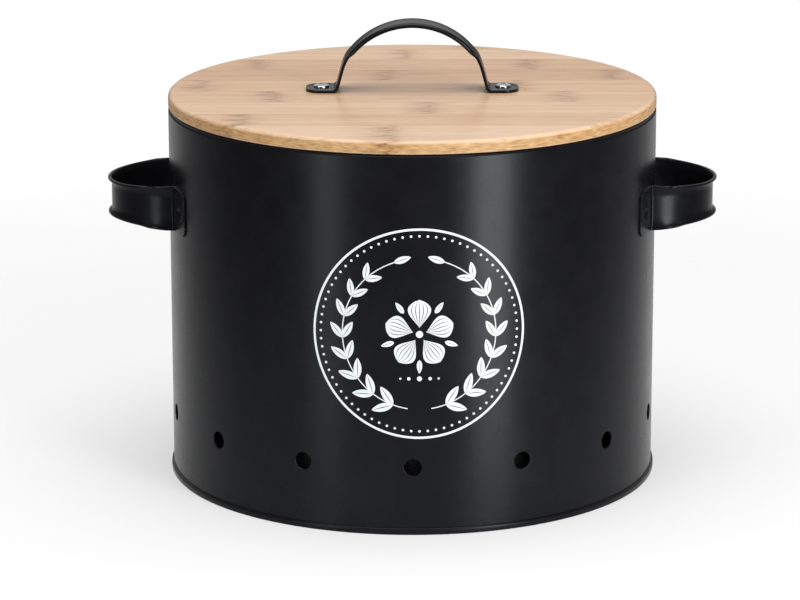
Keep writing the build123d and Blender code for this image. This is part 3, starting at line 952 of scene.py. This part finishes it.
for side, part in ((-1, "lid_screw_left"), (1, "lid_screw_right")):
    screw = begin(part + "_zinc", bpy.ops.mesh.primitive_plane_add, size=mm)
    bpy.ops.mesh.delete(type="VERT")
    profile = dome + [(head_radius, seat + 0.12), (head_radius - 0.12, seat), (shank_radius + 0.15, seat)]
    profile += [(shank_radius, seat - 0.15), (shank_radius, seat - screw_length + point_length)]
    profile += [(0.0, seat - screw_length)]
    turn(profile, 48, side * screw_offset)
    close()
    for quarter in (0, 1):
        blade = begin(
            "recess_blade",
            bpy.ops.mesh.primitive_cube_add,
            size=1,
            location=(side * screw_offset * mm, 0, (seat + head_height) * mm),
            scale=(2 * recess_reach * mm, recess_width * mm, 2 * recess_depth * mm),
        )
        pick("VERT", lambda x, y, z: z < seat + head_height)
        bpy.ops.transform.resize(value=(0.5, 0.6, 1), center_override=(side * screw_offset * mm, 0, 0))
        pick("VERT", lambda x, y, z: True)
        bpy.ops.transform.rotate(
            value=radians(recess_angles[side] + 90 * quarter),
            orient_axis="Z",
            center_override=(side * screw_offset * mm, 0, 0),
        )
        bpy.ops.object.mode_set(mode="OBJECT")
        bpy.context.view_layer.objects.active = screw
        modify(screw, "BOOLEAN", operation="DIFFERENCE", object=blade)
        bpy.data.objects.remove(blade)
    screw.select_set(True)
    bpy.ops.object.shade_smooth_by_angle(angle=radians(35))
    screw.data.materials.append(zinc)
    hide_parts(part)
    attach(screw, "lid")


# --- Studio ------------------------------------------------------------------------------------------------
# A pale table in a white room: a tall soft box on the right, a weaker one on the left and a broad one above.
bpy.context.scene.view_settings.view_transform = "Standard"
floor = begin("studio_floor", bpy.ops.mesh.primitive_circle_add, vertices=96, radius=0.8, fill_type="NGON")
bpy.ops.object.mode_set(mode="OBJECT")
pale_table = bpy.data.materials.new("pale_table")
pale_table.use_nodes = True
top = pale_table.node_tree
matt = top.nodes["Principled BSDF"]
matt.inputs["Base Color"].default_value = colour("#F6F6F6")
matt.inputs["Roughness"].default_value = 0.9
matt.inputs["Specular IOR Level"].default_value = 0.1
table_place = node(top, "TexCoord").outputs["Object"]
distance = node(top, "VectorMath", {0: table_place}, operation="LENGTH").outputs["Value"]
solid = ramp(top, distance, ((0.12, 0.6), (0.24, 0.42), (0.39, 0.32), (0.51, 0.18), (0.67, 0.0)))
below = node(top, "NewGeometry").outputs["Backfacing"]
solid_above = node(top, "MapRange", {"Value": below, "From Min": 1.0, "From Max": 0.0}).outputs[0]
solid_share = node(top, "Math", {0: solid, 1: solid_above}, operation="MULTIPLY").outputs[0]
blend = node(top, "MixShader", {0: solid_share, 1: node(top, "BsdfTransparent").outputs[0], 2: matt.outputs[0]})
top.links.new(blend.outputs[0], top.nodes["Material Output"].inputs["Surface"])
floor.data.materials.append(pale_table)

# the room: white to the camera, white behind the bin and dim in front of it to what mirrors it
world = bpy.data.worlds.new("white_room")
world.use_nodes = True
bpy.context.scene.world = world
room = world.node_tree
world.cycles.sampling_method = "NONE"
towards = node(room, "SeparateXYZ", {0: node(room, "TexCoord").outputs["Generated"]})
behind = node(room, "MapRange", {"Value": towards.outputs["Y"], "From Min": -1.0}).outputs[0]
mirrored = ramp(
    room, behind, ((0.0, 0.05), (0.5, 0.04), (0.67, 0.28), (0.78, 0.45), (0.87, 0.72), (0.93, 0.95), (0.97, 1.0))
)
height = node(room, "MapRange", {"Value": towards.outputs["Z"], "From Min": -1.0}).outputs[0]
by_height = ramp(
    room,
    height,
    ((0.2, 0.8), (0.3, 0.65), (0.35, 0.5), (0.39, 0.36), (0.45, 0.08), (0.53, 0.03), (0.57, 0.14), (0.595, 0.28), (0.62, 0.34), (0.67, 0.4)),
)
by_height = node(room, "Math", {0: by_height, 1: 2.0}, operation="MULTIPLY").outputs[0]
mirrored = node(room, "Math", {0: mirrored, 1: by_height}, operation="MULTIPLY").outputs[0]
ray = node(room, "LightPath")
mirror_ray = node(room, "Math", {0: ray.outputs["Is Glossy Ray"], 1: ray.outputs["Is Transmission Ray"]}, operation="MAXIMUM")
room_level = node(room, "Mix", {0: mirror_ray.outputs[0], 2: 0.45, 3: mirrored}, data_type="FLOAT")
room_level = node(room, "Mix", {0: ray.outputs["Is Camera Ray"], 2: room_level.outputs[0], 3: 1.0}, data_type="FLOAT")
room.links.new(room_level.outputs[0], room.nodes["Background"].inputs["Strength"])
room.nodes["Background"].inputs["Color"].default_value = (1, 1, 1, 1)

# soft boxes: radiance, width and height in metres, place, and the point that each looks at
for name, radiance, width, height, stand, aim in (
    ("soft_box_right", 9.0, 0.34, 1.1, (0.695, -0.978, 0.25), (0, 0, 0.25)),
    ("soft_box_left", 3.0, 0.25, 1.1, (-0.739, -0.945, 0.25), (0, 0, 0.25)),
    ("soft_box_above", 3.25, 0.90, 0.9, (0, -0.13, 1.15), (0, 0, 0)),
):
    box_light = bpy.data.lights.new(name, "AREA")
    box_light.shape = "RECTANGLE"
    box_light.size, box_light.size_y = width, height
    box_light.energy = radiance * pi * width * height
    lamp = bpy.data.objects.new(name, box_light)
    bpy.context.collection.objects.link(lamp)
    away_vector = Vector(stand) - Vector(aim)
    lamp.matrix_world = Matrix.Translation(stand) @ away_vector.to_track_quat("Z", "Y").to_matrix().to_4x4()
    lamp.visible_camera = False

lens_data = bpy.data.cameras.new("camera")
lens_data.sensor_width = 36
lens_data.lens = 36 * 3650.57 / 800
camera = bpy.data.objects.new("camera", lens_data)
bpy.context.collection.objects.link(camera)
camera.matrix_world = (
    Matrix.Translation((-0.00264, -1.76305, 0.54825))
    @ Matrix.Rotation(0.002, 4, "Z")
    @ Matrix.Rotation(pi / 2 - 0.2579, 4, "X")
    @ Matrix.Rotation(-0.0014, 4, "Z")
)
bpy.context.scene.camera = camera
